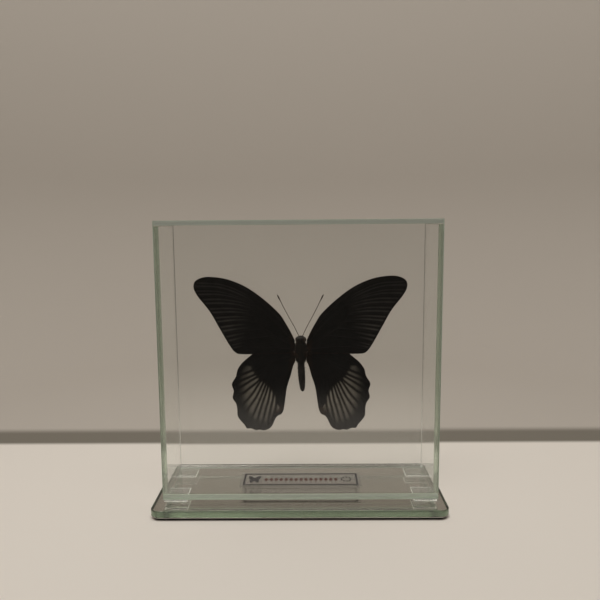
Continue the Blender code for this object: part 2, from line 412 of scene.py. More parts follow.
# %% [markdown]
# ## Lines of light on cut edges
# A polished plate shows little of itself but its edges, where the saw and the grinding left a
# satin line that catches the light. The same is true of the small clear squares under the box.
# Such lines, and later the veins of the wings, are thin tubes that follow a path, so one small
# geometry tree sweeps them all, with a radius that may shrink along the path. Trees end by
# making real geometry and setting its material, because only that is kept when the model
# leaves Blender.

# %% Helpers for geometry trees
def new_tree(name, numbers):
    """An empty geometry tree with named number inputs and a material input."""
    tree = bpy.data.node_groups.new(name, "GeometryNodeTree")
    tree.interface.new_socket("Geometry", in_out="INPUT", socket_type="NodeSocketGeometry")
    for label, default in numbers.items():
        kind = "NodeSocketInt" if isinstance(default, int) else "NodeSocketFloat"
        tree.interface.new_socket(label, in_out="INPUT", socket_type=kind).default_value = default
    tree.interface.new_socket("Material", in_out="INPUT", socket_type="NodeSocketMaterial")
    tree.interface.new_socket("Geometry", in_out="OUTPUT", socket_type="NodeSocketGeometry")
    return tree, tree.nodes.new("NodeGroupInput").outputs


def close_tree(tree, geometry_socket, material_socket):
    """End a tree the way the export needs it: real geometry with its material."""
    real = add(tree, "GeometryNodeRealizeInstances", {"Geometry": geometry_socket})
    coated = add(
        tree, "GeometryNodeSetMaterial",
        {"Geometry": real.outputs["Geometry"], "Material": material_socket},
    )
    add(tree, "NodeGroupOutput", {"Geometry": coated.outputs["Geometry"]})


def run_tree(tree, base, name, **values):
    """Run a tree on an object, and return the result as a new plain mesh object."""
    modifier = base.modifiers.new(name, "NODES")
    modifier.node_group = tree
    for item in tree.interface.items_tree:
        if item.in_out == "INPUT" and item.name in values:
            modifier[item.identifier] = values[item.name]
    link(base)
    mesh = evaluated_mesh(base)
    mesh.name = name
    base.modifiers.remove(modifier)
    return bpy.data.objects.new(name, mesh)

# %% A tree that turns curves into tapering tubes
tube_tree, given = new_tree("tapering_tubes", {"Thick": 0.2 * MM, "Thin": 0.08 * MM, "Sides": 6})
along = add(tube_tree, "GeometryNodeSplineParameter").outputs["Factor"]
tapered = {"Value": along, "To Min": given["Thick"], "To Max": given["Thin"]}
radius = add(tube_tree, "ShaderNodeMapRange", tapered).outputs["Result"]
ring = add(tube_tree, "GeometryNodeCurvePrimitiveCircle", {"Resolution": given["Sides"], "Radius": 1.0})
swept = add(tube_tree, "GeometryNodeCurveToMesh", {
    "Curve": given["Geometry"], "Profile Curve": ring.outputs["Curve"],
    "Scale": radius, "Fill Caps": True,
})
close_tree(tube_tree, swept.outputs["Mesh"], given["Material"])


def curves_object(name, lines):
    """A curve object with one plain line for each list of points."""
    data = bpy.data.curves.new(name, "CURVE")
    data.dimensions = "3D"
    for points in lines:
        spline = data.splines.new("POLY")
        spline.points.add(len(points) - 1)
        for target, place in zip(spline.points, points):
            target.co = (*place, 1.0)
    return bpy.data.objects.new(name, data)


def join_meshes(name, parts):
    """One object from several, each keeping its own material."""
    shape = bmesh.new()
    materials = []
    for part in parts:
        before = len(shape.faces)
        shape.from_mesh(part.data)
        shape.faces.ensure_lookup_table()
        offset = len(materials)
        for face in shape.faces[before:]:
            face.material_index += offset
        materials += list(part.data.materials)
    mesh = mesh_from(shape, name)
    for material in materials:
        mesh.materials.append(material)
    for part in parts:
        bpy.data.objects.remove(part)
    return bpy.data.objects.new(name, mesh)

# %% [markdown]
# ## Clear pads and peg
# The box does not touch the mirror: four clear squares hold it off, and their edges catch the
# light. A clear peg behind the thorax holds the butterfly in the air. Both are a softer, less
# green material than the panes.

# %% Pads and peg
PLASTIC_IOR = 1.48
PAD_MILK = 0.04


def clear_plastic(name, roughness, milk=0.0):
    material, tree, shader, cloud = mottled_material(
        name, 180.0, 3.0, (0.97, 0.98, 0.97), (0.92, 0.95, 0.93),
        IOR=PLASTIC_IOR, Transmission_Weight=1.0 - milk,
    )
    rough = ramp(tree, cloud, 0.3, 0.8, roughness * 0.5, roughness)
    feed(shader, Roughness=rough, Normal=bump(tree, cloud, 0.3, 0.3 * MM))
    return material


PADS = [node_name for node_name in sorted(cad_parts) if node_name.startswith("pad_")]
pad_material = clear_plastic("clear_pad", 0.05, PAD_MILK)
for pad in PADS:
    let_light_through(dress(pad, pad_material))
let_light_through(dress("support_peg", clear_plastic("clear_peg", 0.03)))

# %% Satin rims of the pads, pale along the edges that glint: partly a painted highlight
RIM_RADIUS = 0.2 * MM
TUBE_SIDES = 6


def frosted(name, color):
    paler = [min(1.0, 1.25 * channel) for channel in color]
    return mottled_material(name, 1500.0, 3.0, color, paler, Roughness=0.6, IOR=PLASTIC_IOR)[0]


def tubes_along(lines, name, radius, end_radius, material):
    """Thin tubes along lists of points, as one new mesh object."""
    source = curves_object(name + "_lines", lines)
    tubes = run_tree(
        tube_tree, source, name, Thick=radius, Thin=end_radius, Sides=TUBE_SIDES, Material=material
    )
    bpy.data.objects.remove(source)
    return tubes


def rim_line(low, high, level):
    """Points along a pad's rear edge and the side that faces the middle of the box."""
    outer, inner = (low.x, high.x) if high.x < 0 else (high.x, low.x)
    return [(outer, high.y, level), (inner, high.y, level), (inner, low.y, level)]


# The pads' ground edges are real, but the pale rims run only along the rear edge and the inner side,
# where the edges glint, so their pale colour is partly a painted highlight
lines = []
for pad in PADS:
    pad_low, pad_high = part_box(pad)
    lines.append(rim_line(pad_low, pad_high, pad_high.z - RIM_RADIUS))
rim_glint_finish = frosted("pad_rim", (0.78, 0.82, 0.74))
rims = tubes_along(lines, "pad_rims", RIM_RADIUS, RIM_RADIUS, rim_glint_finish)
finish_piece(rims)
print("pad rims:", len(lines), "lines,", len(rims.data.polygons), "faces")

# %% Ground arrises of the panes
ARRIS_RADIUS = 0.11 * MM
ARRIS_PANES = {"front_pane": 1, "rear_pane": 1, "top_pane": 2, "bottom_pane": 2}  # thin axis


def rectangle(x0, y0, x1, y1):
    return [(x0, y0), (x1, y0), (x1, y1), (x0, y1)]


def arris_line(low, high, axis, level):
    """Points around one big face of a pane, just inside its edges."""
    inner_low = [low[other] + ARRIS_RADIUS for other in range(3) if other != axis]
    inner_high = [high[other] - ARRIS_RADIUS for other in range(3) if other != axis]
    corners = rectangle(*inner_low, *inner_high)
    return [(*corner[:axis], level, *corner[axis:]) for corner in corners + corners[:1]]


lines = []
for node_name, axis in ARRIS_PANES.items():
    low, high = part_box(node_name)
    for level in (low[axis] + ARRIS_RADIUS, high[axis] - ARRIS_RADIUS):
        lines.append(arris_line(low, high, axis, level))
arris_finish = frosted("pane_arris", (0.40, 0.46, 0.37))
arrises = tubes_along(lines, "pane_arrises", ARRIS_RADIUS, ARRIS_RADIUS, arris_finish)
finish_piece(arrises)
print("pane arrises:", len(lines), "lines")

# %% [markdown]
# ## The label
# A strip of clear film lies on the bottom pane, printed with a dark border, a small butterfly
# and an ornament. The film is nearly invisible; what shows is the ink, and the mirror repeats
# it from below. The ink is thin raised geometry, so it also casts its own reflection.

# %% Label film
film_material, tree, shader, crease = mottled_material(
    "label_film", 120.0, 3.0, (0.90, 0.90, 0.92), (0.84, 0.84, 0.88), IOR=1.3, Transmission_Weight=1.0
)
feed(shader, Roughness=ramp(tree, crease, 0.5, 0.8, 0.0, 0.02))
let_light_through(dress("label", film_material))

# %% Printed border, silhouette and ornament
INK_HEIGHT = 0.05 * MM
INK_LIFT = 0.01 * MM
BORDER_WIDTH = 65.4 * MM
BORDER_DEPTH = 15.5 * MM
SIDE_LINE = 1.1 * MM
LONG_LINE = 1.2 * MM
label_middle = (label_low + label_high) / 2
INK_BOTTOM = label_high.z + INK_LIFT


def ink_material(name, color):
    material, tree, shader = start_material(name, Roughness=0.8, Specular_IOR_Level=0.1)
    speck = ramp(tree, noise(tree, object_coordinates(tree), 2500.0), 0.55, 0.8)
    paler = opaque(min(1.0, channel * 2.2 + 0.01) for channel in color)
    feed(shader, Base_Color=blend_color(tree, speck, opaque(color), paler))
    return material


def add_prism(shape, outline):
    """A flat printed patch: an outline on the label, raised by the ink's thickness."""
    lower = [shape.verts.new((x, y, INK_BOTTOM)) for x, y in outline]
    face = shape.faces.new(lower)
    raised = bmesh.ops.extrude_face_region(shape, geom=[face])["geom"]
    upper = [v for v in raised if isinstance(v, bmesh.types.BMVert)]
    bmesh.ops.translate(shape, vec=(0, 0, INK_HEIGHT), verts=upper)


def ink_piece(name, outlines, material):
    shape = bmesh.new()
    for outline in outlines:
        add_prism(shape, outline)
    bmesh.ops.recalc_face_normals(shape, faces=shape.faces)
    mesh = mesh_from(shape, name)
    mesh.materials.append(material)
    finish_piece(bpy.data.objects.new(name, mesh))


left, right = label_middle.x - BORDER_WIDTH / 2, label_middle.x + BORDER_WIDTH / 2
near, far = label_middle.y - BORDER_DEPTH / 2, label_middle.y + BORDER_DEPTH / 2
border = [
    rectangle(left, near, right, near + LONG_LINE),
    rectangle(left, far - LONG_LINE, right, far),
    rectangle(left, near + LONG_LINE, left + SIDE_LINE, far - LONG_LINE),
    rectangle(right - SIDE_LINE, near + LONG_LINE, right, far - LONG_LINE),
]
black_ink = ink_material("black_ink", (0.012, 0.011, 0.014))
ink_piece("label_border", border, black_ink)

# Half of a plain butterfly silhouette, in millimetres from its middle
SILHOUETTE_HALF = [
    (0.0, 1.8), (0.5, 2.0), (1.6, 3.8), (3.4, 4.6), (3.6, 2.8), (3.0, 0.4), (2.4, -0.4),
    (2.8, -1.6), (2.4, -3.8), (1.3, -4.3), (0.6, -2.2), (0.0, -3.0),
]
mirrored = [(-x, y) for x, y in SILHOUETTE_HALF[-2:0:-1]]
icon_x = left + 6.2 * MM
icon = [(icon_x + x * MM, label_middle.y + y * MM) for x, y in SILHOUETTE_HALF + mirrored]
ink_piece("label_silhouette", [icon], black_ink)

# A ring of small dots closes the line at the other end
RING_DOTS = 9
DOT_CORNERS = 8
RING_RADIUS = 2.7 * MM
DOT_RADIUS = 0.65 * MM


def circle(x, y, radius, count):
    """Even points around a circle."""
    turns = [2 * math.pi * i / count for i in range(count)]
    return [(x + radius * math.cos(turn), y + radius * math.sin(turn)) for turn in turns]


dots = [
    circle(x, y, DOT_RADIUS, DOT_CORNERS)
    for x, y in circle(right - 6.6 * MM, label_middle.y, RING_RADIUS, RING_DOTS)
]
ink_piece("label_ring", dots, black_ink)

# %% [markdown]
# The middle of the strip carries a plain ornament: a row of small lozenges. A row is what
# Geometry Nodes do well: a line of points, and one lozenge on each.

# %% A tree that repeats one shape along a line
row_tree, given = new_tree(
    "row_of_lozenges",
    {"Count": 12, "Spacing": 3.0 * MM, "Width": 1.0 * MM, "Depth": 2.0 * MM, "Height": 0.1 * MM},
)
step = add(row_tree, "ShaderNodeCombineXYZ", {"X": given["Spacing"]})
line = add(row_tree, "GeometryNodeMeshLine", {"Count": given["Count"], "Offset": step.outputs["Vector"]})
lozenge = add(row_tree, "GeometryNodeMeshCylinder", {"Vertices": 4, "Radius": 0.5, "Depth": 1.0})
width, depth, height = given["Width"], given["Depth"], given["Height"]
size = add(row_tree, "ShaderNodeCombineXYZ", {"X": width, "Y": depth, "Z": height})
sized = add(
    row_tree, "GeometryNodeTransform",
    {"Geometry": lozenge.outputs["Mesh"], "Scale": size.outputs["Vector"]},
)
placed = add(
    row_tree, "GeometryNodeInstanceOnPoints",
    {"Points": line.outputs["Mesh"], "Instance": sized.outputs["Geometry"]},
)
close_tree(row_tree, placed.outputs["Instances"], given["Material"])

red_ink = ink_material("red_ink", (0.060, 0.012, 0.008))
LOZENGES = 15
LOZENGE_SPACING = 2.85 * MM
LOZENGE_WIDTH = 2.5 * MM
LOZENGE_DEPTH = 4.6 * MM
carrier = bpy.data.objects.new("row_carrier", bpy.data.meshes.new("row_carrier"))
row = run_tree(
    row_tree, carrier, "label_ornament", Count=LOZENGES, Spacing=LOZENGE_SPACING,
    Width=LOZENGE_WIDTH, Depth=LOZENGE_DEPTH, Height=INK_HEIGHT, Material=red_ink,
)
row_start = Vector((icon_x + 6.8 * MM, label_middle.y - 0.3 * MM, INK_BOTTOM + INK_HEIGHT / 2))
row.data.transform(Matrix.Translation(row_start))
finish_piece(row)
bpy.data.objects.remove(carrier)
print("ornament of", LOZENGES, "lozenges,", len(row.data.polygons), "faces")

# %% [markdown]
# ## Wings
# A wing is a thin sheet stretched between stiff veins, and its pattern follows them: dark
# along each vein and paler between. So the veins come first, as curves given on the
# outline. The sheet is then cut into small triangles that have the veins as edges, and every
# point stores how far it is from the nearest vein and from the margin. The material reads
# those distances, so the pattern fits the wing exactly without any picture.

# %% Outlines and veins of the right wings, sideways and upwards in millimetres
FOREWING_OUTLINE = [
    (3.4, 84.6), (6.1, 90.2), (8.8, 95.0), (12.0, 99.8), (20.5, 107.9), (30.0, 114.8),
    (40.0, 119.1), (49.5, 120.6), (54.8, 119.9), (58.0, 117.8), (58.5, 114.2), (56.3, 109.7),
    (50.2, 101.5), (45.0, 91.9), (40.0, 82.7), (36.8, 78.3), (33.0, 77.0), (20.0, 76.9),
    (8.0, 77.0), (3.2, 78.0),
]
HINDWING_OUTLINE = [
    (3.2, 77.2), (9.0, 79.6), (17.0, 80.6), (24.0, 78.8), (30.5, 74.1), (33.7, 71.0),
    (35.6, 68.0), (36.6, 64.2), (38.9, 60.0), (38.0, 56.0), (38.6, 52.0), (36.8, 48.6),
    (36.2, 45.4), (36.0, 41.4), (34.0, 38.1), (32.2, 36.0), (31.0, 34.0), (28.5, 33.8),
    (25.8, 32.7), (23.9, 33.0), (21.9, 32.5), (19.6, 32.9), (17.0, 34.6), (14.6, 39.4),
    (13.2, 40.9), (11.2, 41.9), (9.9, 44.8), (9.0, 50.5), (7.9, 57.5), (5.7, 64.5),
    (4.4, 69.4), (3.2, 72.0),
]
FOREWING_VEINS = [
    [(3.6, 83.2), (9.0, 92.5), (18.0, 102.5), (30.0, 111.5), (42.0, 117.2), (56.0, 118.6)],
    [(3.6, 82.4), (12.0, 92.5), (22.0, 102.0), (30.0, 108.0), (44.0, 113.4), (57.6, 114.4)],
    [(25.0, 104.2), (33.0, 107.4), (44.0, 109.6), (55.6, 109.6)],
    [(26.6, 102.0), (38.0, 104.3), (51.8, 104.4)],
    [(26.4, 98.8), (37.0, 99.7), (48.6, 99.3)],
    [(24.4, 95.2), (35.0, 95.2), (46.0, 94.1)],
    [(20.4, 91.4), (32.0, 90.3), (43.0, 88.6)],
    [(14.6, 87.4), (28.0, 85.9), (39.8, 83.0)],
    [(3.6, 80.8), (10.0, 84.4), (17.0, 89.0), (24.4, 95.2), (26.6, 102.0), (25.0, 104.2)],
    [(3.6, 79.2), (18.0, 80.8), (28.0, 80.9), (37.4, 79.6)],
]
HINDWING_VEINS = [
    [(4.0, 76.2), (14.0, 77.6), (25.0, 73.8), (34.9, 68.6)],
    [(15.0, 73.2), (22.0, 70.2), (26.8, 67.8), (31.3, 66.0), (36.2, 64.4)],
    [(18.6, 70.0), (22.5, 67.4), (25.7, 65.3), (29.9, 63.4), (38.2, 60.0)],
    [(19.6, 67.6), (24.8, 63.7), (28.7, 61.4), (34.3, 58.0), (37.6, 56.0)],
    [(19.6, 66.0), (24.0, 61.4), (29.6, 57.0), (32.4, 54.9), (38.2, 51.8)],
    [(19.2, 65.2), (22.8, 61.2), (27.2, 54.6), (30.4, 50.8), (36.2, 45.0)],
    [(18.6, 64.6), (21.6, 59.6), (25.2, 52.5), (29.0, 47.0), (34.3, 39.6)],
    [(18.0, 64.2), (20.6, 57.4), (22.7, 52.2), (25.7, 45.3), (30.8, 34.6)],
    [(17.2, 63.8), (19.5, 55.4), (21.2, 50.6), (22.9, 45.6), (26.4, 33.4)],
    [(16.0, 63.6), (17.7, 54.6), (18.7, 49.6), (20.1, 45.0), (23.1, 33.4)],
    [(14.4, 63.2), (15.7, 53.0), (16.3, 49.4), (17.4, 45.0), (19.9, 33.4)],
    [(12.4, 62.4), (13.8, 52.0), (14.5, 45.8), (15.7, 41.0), (16.9, 35.6)],
    [(4.2, 72.6), (8.4, 63.0), (10.6, 52.0), (11.8, 42.6)],
    [(4.0, 74.8), (12.0, 73.8), (18.6, 70.0), (19.6, 66.0), (16.4, 63.8), (10.6, 62.0), (5.0, 73.0)],
]

# %% Curves, distances and a triangulated sheet
SHEET_STEP = 0.42  # millimetres between neighbouring points


def smooth_path(points, step):
    """Even points along a curve that passes through the given ones."""
    known = np.array(points, float)
    padded = np.vstack([2 * known[0] - known[1], known, 2 * known[-1] - known[-2]])
    path = [known[0]]
    for i in range(1, len(known)):
        before, start, end, after = padded[i - 1:i + 3]
        count = max(2, int(np.linalg.norm(end - start) / step))
        for t in np.arange(1, count + 1) / count:
            path.append(0.5 * (
                2 * start + (end - before) * t + (2 * before - 5 * start + 4 * end - after) * t**2
                + (3 * start - before - 3 * end + after) * t**3
            ))
    return np.array(path)


def distance_to_path(points, path):
    """Distance from every point to the nearest place on a path."""
    best = np.full(len(points), 1e9)
    for start, end in zip(path, path[1:]):
        run = end - start
        along = np.clip((points - start) @ run / max(run @ run, 1e-12), 0.0, 1.0)
        offset = points - start - along[:, None] * run
        best = np.minimum(best, np.hypot(offset[:, 0], offset[:, 1]))
    return best


def inside(points, loop):
    """Which points lie inside a closed loop, by counting crossings."""
    result = np.zeros(len(points), bool)
    for (x0, y0), (x1, y1) in zip(loop, np.roll(loop, -1, axis=0)):
        if y0 == y1:
            continue
        crosses = (y0 > points[:, 1]) != (y1 > points[:, 1])
        result ^= crosses & (points[:, 0] < x0 + (points[:, 1] - y0) * (x1 - x0) / (y1 - y0))
    return result


def triangulate(outline, veins, step):
    """Fill an outline with small triangles that have the veins among their edges."""
    loop = smooth_path(outline, step)
    corners = [tuple(p) for p in loop]
    edges = [(i, (i + 1) % len(loop)) for i in range(len(loop))]
    paths = [smooth_path(vein, step) for vein in veins]
    for path in paths:
        kept = path[inside(path, loop) & (distance_to_path(path, loop) > 0.3 * step)]
        first = len(corners)
        corners += [tuple(p) for p in kept]
        edges += [(first + i, first + i + 1) for i in range(len(kept) - 1)]
    low, high = loop.min(0), loop.max(0)
    rows = int((high[1] - low[1]) / (step * 0.866)) + 1
    columns = int((high[0] - low[0]) / step) + 1
    grid = np.array([
        (low[0] + (c + 0.5 * (r % 2)) * step, low[1] + r * step * 0.866)
        for r in range(rows) for c in range(columns)
    ])
    grid = grid[inside(grid, loop)]
    clear = distance_to_path(grid, np.vstack([loop, loop[:1]])) > 0.5 * step
    for path in paths:
        clear &= distance_to_path(grid, path) > 0.5 * step
    corners += [tuple(p) for p in grid[clear]]
    found = geometry.delaunay_2d_cdt([Vector(p) for p in corners], edges, [], 0, 1e-5, False)
    points = np.array([tuple(p) for p in found[0]])
    faces = np.array(found[2])
    faces = faces[inside(points[faces].mean(1), loop)]
    return points, faces, loop, paths

# %% [markdown]
# The sheet is not quite flat. The veins stand up from it and the skin sags between them, the
# wing comes forward a few degrees from the body to its tip, and a dried wing is never perfectly
# even, so a slow wave runs over it. Each of these is one term of the depth of a point.

# %% The shape of a wing in space
WING_RISE = math.radians(4.0)
WING_SKIN = 0.07  # millimetres thick
PAIR_STEP = {"forewing": -0.35, "hindwing": 0.35}  # the forewings lie in front
VEIN_SAG = 0.16
WAVE = 0.35
WAVE_PHASE = {-1: 2.1, 1: 1.3}  # the left and the right wing are not quite alike


def wing_depth(points, vein_distance, sign):
    """How far each point stands towards the rear, in millimetres."""
    phase = WAVE_PHASE[sign]
    across, up = points[:, 0], points[:, 1]
    sag = VEIN_SAG * (1 - np.exp(-((vein_distance / 0.9) ** 2)))
    wave = WAVE * np.sin(across / 13.0 + phase) * np.sin(up / 11.0 + 1.7 * phase)
    return sag + wave * np.clip(across / 20.0, 0, 1)


def place_wing(points, vein_distance, kind, sign):
    """From the flat drawing to the box: turn by the rise, mirror for the left side."""
    across, up = points[:, 0], points[:, 1]
    depth = wing_depth(points, vein_distance, sign) + PAIR_STEP[kind]
    x = across * math.cos(WING_RISE) + depth * math.sin(WING_RISE)
    y = depth * math.cos(WING_RISE) - across * math.sin(WING_RISE)
    return np.column_stack(in_box(sign * x, y, up)).tolist()


def store(mesh, name, values):
    """Keep one number per point on the mesh, for the material to read."""
    layer = mesh.attributes.new(name, "FLOAT", "POINT")
    layer.data.foreach_set("value", np.asarray(values, np.float32))


def fade(values, low, high):
    """0 below low, 1 above high, smooth between; high may be the smaller one."""
    t = np.clip((values - low) / (high - low), 0, 1)
    return t * t * (3 - 2 * t)

# %% [markdown]
# The forewing is almost black. In its outer half a pair of paler stripes runs between each two
# veins and fades towards the body. The share of the way from one vein to the next says where
# a point is across the gap, and two soft humps of that share are the stripes. On the hindwing
# one much paler ray fills each gap, and the rays start and end along two curves.

# %% Forewing and hindwing patterns
FOREWING_STRIPES_FROM = 26.0  # millimetres from the body, where the stripes begin
STRIPE_SHARE, STRIPE_WIDTH = 0.30, 0.085  # of the way between two veins
HINDWING_BLACK_EDGE = [
    (31.0, 71.4), (27.6, 69.4), (25.6, 65.4), (22.6, 61.8), (19.4, 59.4), (16.4, 55.6),
    (14.4, 51.6), (13.6, 48.0),
]
HINDWING_PALE_END = [
    (33.2, 68.4), (35.0, 62.0), (34.8, 55.0), (33.2, 48.0), (30.8, 42.6), (27.6, 38.2),
    (22.0, 36.2), (17.6, 36.8), (14.6, 42.2),
]
HINDWING_ROOT = [(10.0, 42.0), (0.0, 40.0), (0.0, 84.0), (27.6, 84.0)]


def forewing_pattern(points, share, vein_distance, margin):
    across, up = points[:, 0], points[:, 1]
    humps = np.exp(-(((share - STRIPE_SHARE) / STRIPE_WIDTH) ** 2))
    outward = across + 0.25 * (up - 95.0)
    reach = fade(outward, FOREWING_STRIPES_FROM, FOREWING_STRIPES_FROM + 14.0)
    lower = fade(up, 120.0, 84.0) * 0.65 + 0.35
    return humps * reach * lower * fade(margin, 0.4, 1.4)


def beyond(points, path, closing):
    """Signed distance past a path, seen from the root; closing points shut the root side."""
    away = distance_to_path(points, path)
    return np.where(inside(points, np.vstack([path, closing])), -away, away)


def hindwing_pattern(points, share, vein_distance, margin):
    across, up = points[:, 0], points[:, 1]
    past_black = beyond(points, smooth_path(HINDWING_BLACK_EDGE, 0.8), HINDWING_ROOT)
    past_pale = beyond(points, smooth_path(HINDWING_PALE_END, 0.8), HINDWING_ROOT)
    line = fade(vein_distance, 0.32, 0.92) * (0.50 + 1.0 * share)
    start = fade(past_black + 1.2 * share, 0.0, 1.8)
    end = fade(past_pale, 1.2, -4.2)
    centre = np.exp(-(((up - 54.0) / 12.0) ** 2)) * fade(across, 35.0, 24.0)
    return line * start * end * fade(margin, 1.5, 3.0) * (0.24 + 0.76 * centre)

# %% [markdown]
# Wing scales are powdery and lie in rows like roof tiles: a soft, dull surface, with pale
# scales among the dark ones where the pattern is pale. Fine noise breaks the pattern into such
# grains, and a bump gives the rows.

# %% Wing materials
def wing_material(name, dark, pale, rust):
    material, tree, shader = start_material(
        name, Specular_IOR_Level=0.06, Sheen_Weight=0.02, Sheen_Roughness=0.4
    )
    place = object_coordinates(tree)
    grain = noise(tree, place, 5200.0, 2.0)
    patch = noise(tree, place, 320.0, 3.0)
    vein = attribute(tree, "vein")
    broken = calc(tree, "MULTIPLY", attribute(tree, "pattern"), ramp(tree, patch, 0.2, 0.7, 0.75, 1.1))
    grainy = calc(tree, "MULTIPLY", broken, ramp(tree, grain, 0.25, 0.65, 0.72, 1.12))
    less_dark = opaque(1.7 * channel for channel in dark)
    black = blend_color(tree, ramp(tree, patch, 0.3, 0.75), opaque(dark), less_dark)
    worn = blend_color(tree, ramp(tree, vein, 0.35, 0.05, 0.0, 0.08), black, opaque(rust))
    color = blend_color(tree, grainy, worn, opaque(pale))
    at_root = calc(tree, "MULTIPLY", attribute(tree, "root"), ramp(tree, patch, 0.35, 0.6))
    rows = add(
        tree, "ShaderNodeTexWave",
        {"Vector": place, "Scale": 1400.0, "Distortion": 3.0, "Detail": 1.0},
        wave_type="BANDS", bands_direction="Z",
    ).outputs["Fac"]
    relief = calc(tree, "ADD", calc(tree, "MULTIPLY", rows, 0.5), grain)
    feed(
        shader,
        Base_Color=blend_color(tree, at_root, color, opaque(rust)),
        Roughness=ramp(tree, grain, 0.2, 0.8, 0.55, 0.85),
        Normal=bump(tree, relief, 0.25, 0.05 * MM),
    )
    return material


vein_material = mottled_material(
    "wing_vein", 700.0, 3.0, (0.003, 0.0026, 0.0023), (0.007, 0.0055, 0.0045),
    Roughness=0.65, Specular_IOR_Level=0.1,
)[0]
WING_MATERIALS = {
    "forewing": wing_material(
        "forewing_scales", (0.0035, 0.0030, 0.0027), (0.060, 0.054, 0.048), (0.030, 0.012, 0.004)
    ),
    "hindwing": wing_material(
        "hindwing_scales", (0.0040, 0.0036, 0.0034), (0.29, 0.262, 0.215), (0.030, 0.014, 0.006)
    ),
}
WINGS = {
    "forewing": (FOREWING_OUTLINE, FOREWING_VEINS, forewing_pattern),
    "hindwing": (HINDWING_OUTLINE, HINDWING_VEINS, hindwing_pattern),
}

# %% Build the four wings
def nearest_two(points, paths):
    distances = np.sort(np.array([distance_to_path(points, path) for path in paths]), axis=0)
    return distances[0], distances[1]


LOBE = (12.2, 44.0)  # the reddish corner next to the body, on the hindwing
VEIN_AT_ROOT, VEIN_AT_END = 0.17 * MM, 0.07 * MM


def make_wing(kind, side, sign, sheet):
    points, faces, loop, paths, near, margin, pattern = sheet
    mesh = bpy.data.meshes.new(kind)
    mesh.from_pydata(place_wing(points, near, kind, sign), [], faces.tolist())
    store(mesh, "pattern", pattern)
    store(mesh, "vein", near)
    root = fade(points[:, 0], 7.5, 3.5) * 0.8
    if kind == "hindwing":
        lobe = np.hypot(points[:, 0] - LOBE[0], points[:, 1] - LOBE[1])
        root = np.maximum(root, fade(lobe, 4.5, 0.5) * 0.8)
    store(mesh, "root", np.maximum(root, fade(margin, 0.45, 0.0) * 0.7))
    mesh.materials.append(WING_MATERIALS[kind])
    skin = link(bpy.data.objects.new(kind + "_skin", mesh))
    thicken = skin.modifiers.new("skin", "SOLIDIFY")
    thicken.thickness = WING_SKIN * MM
    thicken.offset = 0.0
    solid = bpy.data.objects.new(kind + "_solid", evaluated_mesh(skin))
    bpy.data.objects.remove(skin)
    kept = [path[inside(path, loop)] for path in paths]
    lines = [place_wing(path, np.zeros(len(path)), kind, sign) for path in kept]
    tubes = tubes_along(lines, kind + "_tubes", VEIN_AT_ROOT, VEIN_AT_END, vein_material)
    wing = join_meshes(f"{kind}_{side}_scaled", [solid, tubes])
    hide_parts(f"{kind}_{side}")
    return finish_piece(wing, smooth=True)


for kind, (outline, veins, pattern_rule) in WINGS.items():
    points, faces, loop, paths = triangulate(outline, veins, SHEET_STEP)
    near, second = nearest_two(points, paths)
    margin = distance_to_path(points, np.vstack([loop, loop[:1]]))
    share = near / np.maximum(near + second, 1e-6)
    pattern = pattern_rule(points, share, near, margin)
    sheet = (points, faces, loop, paths, near, margin, pattern)
    for side, sign in (("left", -1), ("right", 1)):
        wing = make_wing(kind, side, sign, sheet)
        print(wing.name, len(wing.data.polygons), "faces")

# %% [markdown]
# ## Body
# The thorax and the head are hidden under fur, and the abdomen shows its rings. The bare form
# is turned from a profile, with the rings as shallow waves of the radius.

# %% The bare body
BODY_FORM = [
    (0.05, 87.0), (1.3, 86.6), (2.3, 85.9), (2.6, 84.9), (2.3, 83.8), (2.1, 83.0),
    (2.7, 82.0), (3.1, 79.8), (3.1, 76.6), (2.7, 74.0), (1.9, 72.2), (1.8, 71.0),
    (2.0, 68.5), (2.0, 64.5), (1.75, 60.0), (1.25, 56.3), (0.6, 54.9), (0.05, 54.6),
]
BODY_SIDES = 40
BODY_RINGS = 150
ABDOMEN_TOP = 71.5
RING_PITCH = 2.1
BODY_DEPTH = 0.9  # depth compared with width
BODY_TOP, BODY_END = 87.0, 54.6


def body_axis(up):
    """The abdomen leans slightly sideways and back: offsets in millimetres at each height."""
    below = np.clip((74.0 - up) / 20.0, 0, 1)
    return 0.9 * below**1.3, 0.5 * below


profile = smooth_path([(r, -z) for r, z in BODY_FORM], 0.25)
heights = np.linspace(BODY_TOP, BODY_END, BODY_RINGS)
radii = np.interp(-heights, profile[:, 1], profile[:, 0])
ringed = fade(heights, ABDOMEN_TOP, ABDOMEN_TOP - 2.0)
radii = radii * (1 + 0.09 * ringed * (np.abs(np.sin(np.pi * heights / RING_PITCH)) - 0.6))
shape = bmesh.new()
rings = []
for up, radius_here in zip(heights, radii):
    lean_x, lean_y = body_axis(up)
    turns = [2 * math.pi * i / BODY_SIDES for i in range(BODY_SIDES)]
    rings.append([
        shape.verts.new(in_box(
            lean_x + radius_here * math.cos(turn), lean_y + BODY_DEPTH * radius_here * math.sin(turn), up
        ))
        for turn in turns
    ])
for upper, lower in zip(rings, rings[1:]):
    for i in range(BODY_SIDES):
        j = (i + 1) % BODY_SIDES
        shape.faces.new((upper[i], upper[j], lower[j], lower[i]))
shape.faces.new(rings[0][::-1])
shape.faces.new(rings[-1])
bmesh.ops.recalc_face_normals(shape, faces=shape.faces)
body_mesh = mesh_from(shape, "body_form")
body_form = bpy.data.objects.new("body_form", body_mesh)
up = np.array([(v.co.z - DRAWING_LEVEL) / MM for v in body_mesh.vertices])
store(body_mesh, "fur", np.clip(fade(up, 69.0, 73.5) + 0.35, 0, 1) * fade(up, 54.5, 57.0))
store(body_mesh, "length", 0.35 + 0.65 * fade(up, 70.0, 74.0) * fade(up, 87.5, 83.0))

